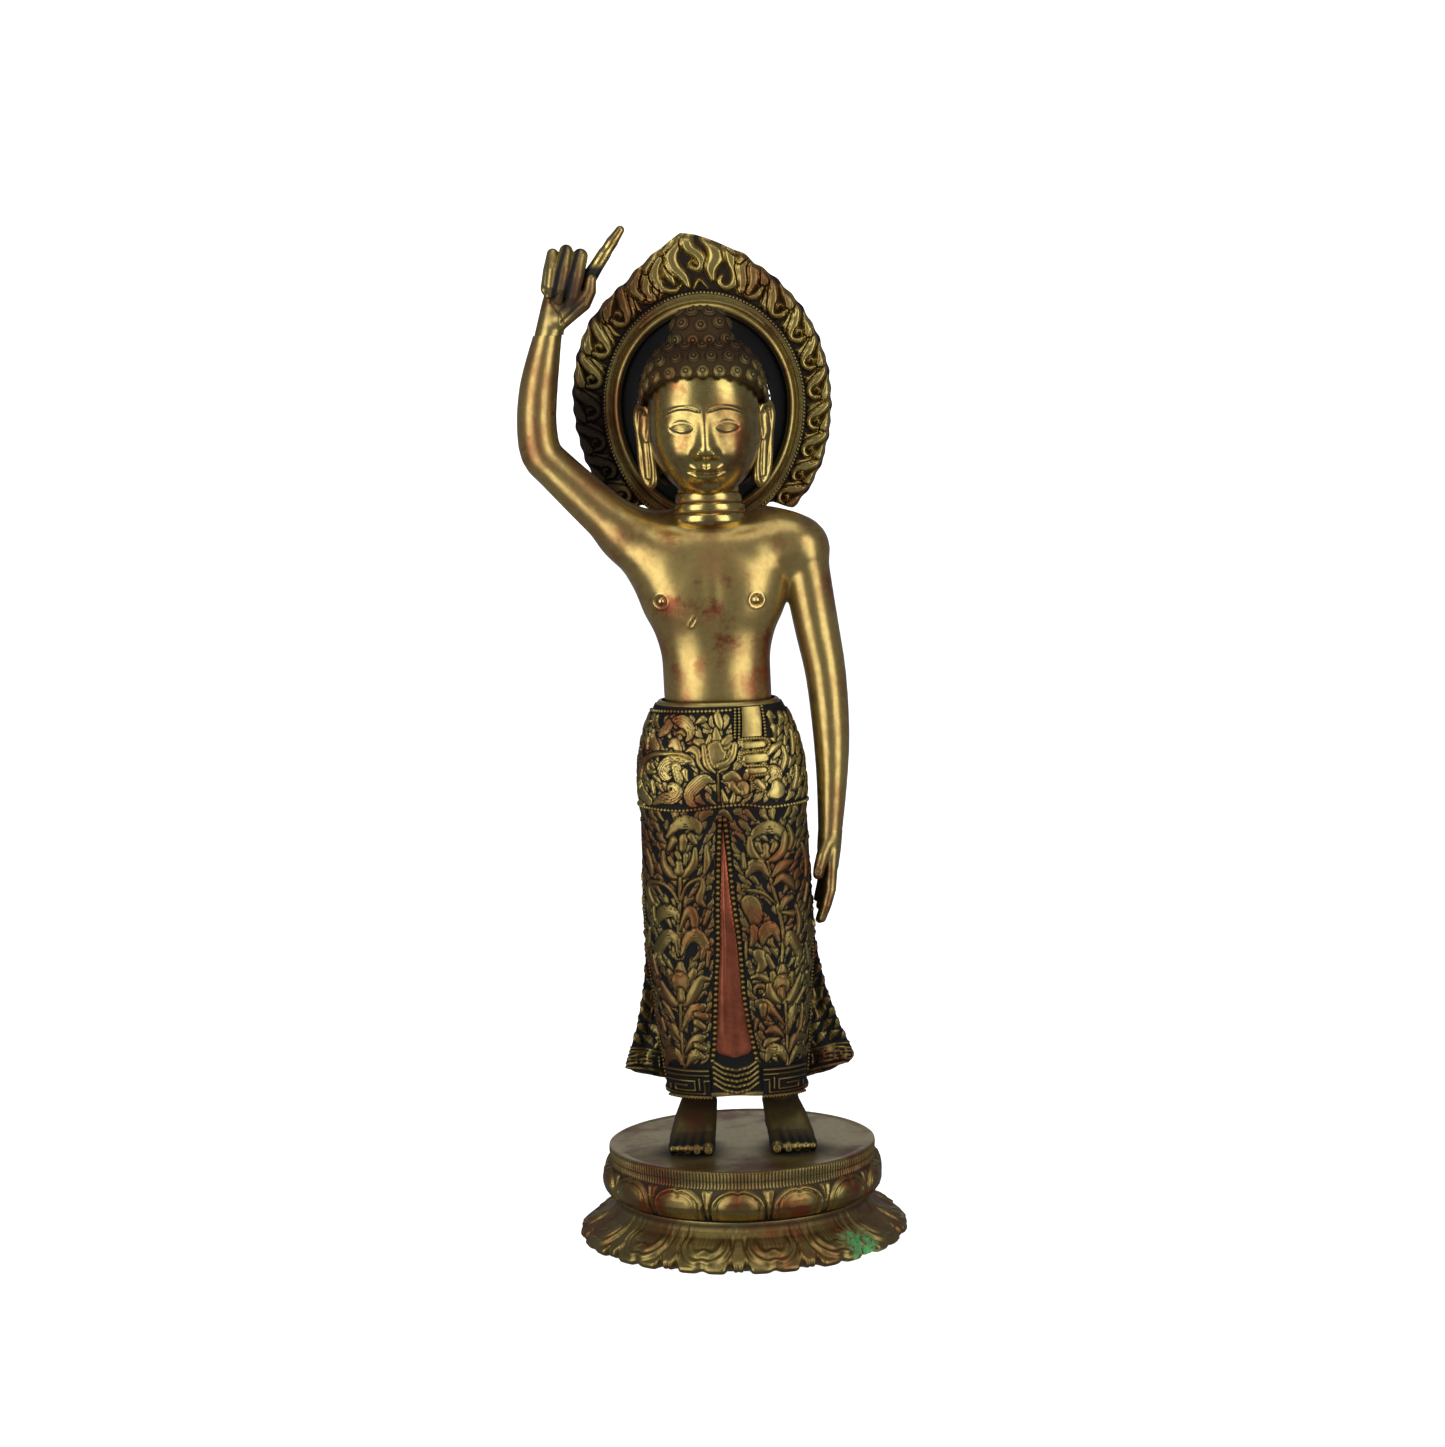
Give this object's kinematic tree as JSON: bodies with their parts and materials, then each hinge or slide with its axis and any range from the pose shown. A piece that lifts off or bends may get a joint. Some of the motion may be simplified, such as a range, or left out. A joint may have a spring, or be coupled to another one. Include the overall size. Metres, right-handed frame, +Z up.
{
  "type": "standing figure statue",
  "caption": "Standing figure on a double lotus base, one arm raised and pointing, with a lift-off flaming aureole behind the head.",
  "frame": {"origin": "middle of the flat underside of the lotus base", "axes": "+Z up, the figure faces -Y, +X to the right of a viewer in front"},
  "size_m": [0.1494, 0.1348, 0.4087],
  "materials": {
    "aged_brass": "satin",
    "dark_brass": "satin",
    "patinated_brass": "satin",
    "copper": "satin"
  },
  "bodies": {
    "figure": {"seat_plate": "dark_brass", "upper_lotus_band": "dark_brass", "lower_lotus_skirt": "dark_brass", "sealing_plate": "copper", "tenon_keys": "aged_brass", "right_foot": "dark_brass", "left_foot": "dark_brass", "dhoti_shell": "patinated_brass", "rear_drape": "dark_brass", "pleat_panel": "copper", "hem_borders": "aged_brass", "hip_wrap": "patinated_brass", "waist_band": "aged_brass", "sash_end": "aged_brass", "torso": "aged_brass", "right_arm": "aged_brass", "right_hand": "aged_brass", "right_index_finger": "dark_brass", "left_arm": "aged_brass", "left_hand": "aged_brass", "shoulder_dowels": "aged_brass", "neck_peg": "dark_brass", "head": "aged_brass", "right_ear": "aged_brass", "left_ear": "aged_brass", "hair_cap": "patinated_brass", "hair_curls": "patinated_brass", "ushnisha": "patinated_brass", "tang_socket": "dark_brass"},
    "aureole": {"aureole_frame": "aged_brass", "bead_ring": "aged_brass", "flame_border": "dark_brass", "aureole_tang": "aged_brass", "tang_rivets": "copper"}
  },
  "joints": [
    {"name": "aureole_lift", "type": "slide", "parent": "figure", "child": "aureole", "axis": [0, 0, 1], "range_m": [0, 0.03]}
  ]
}
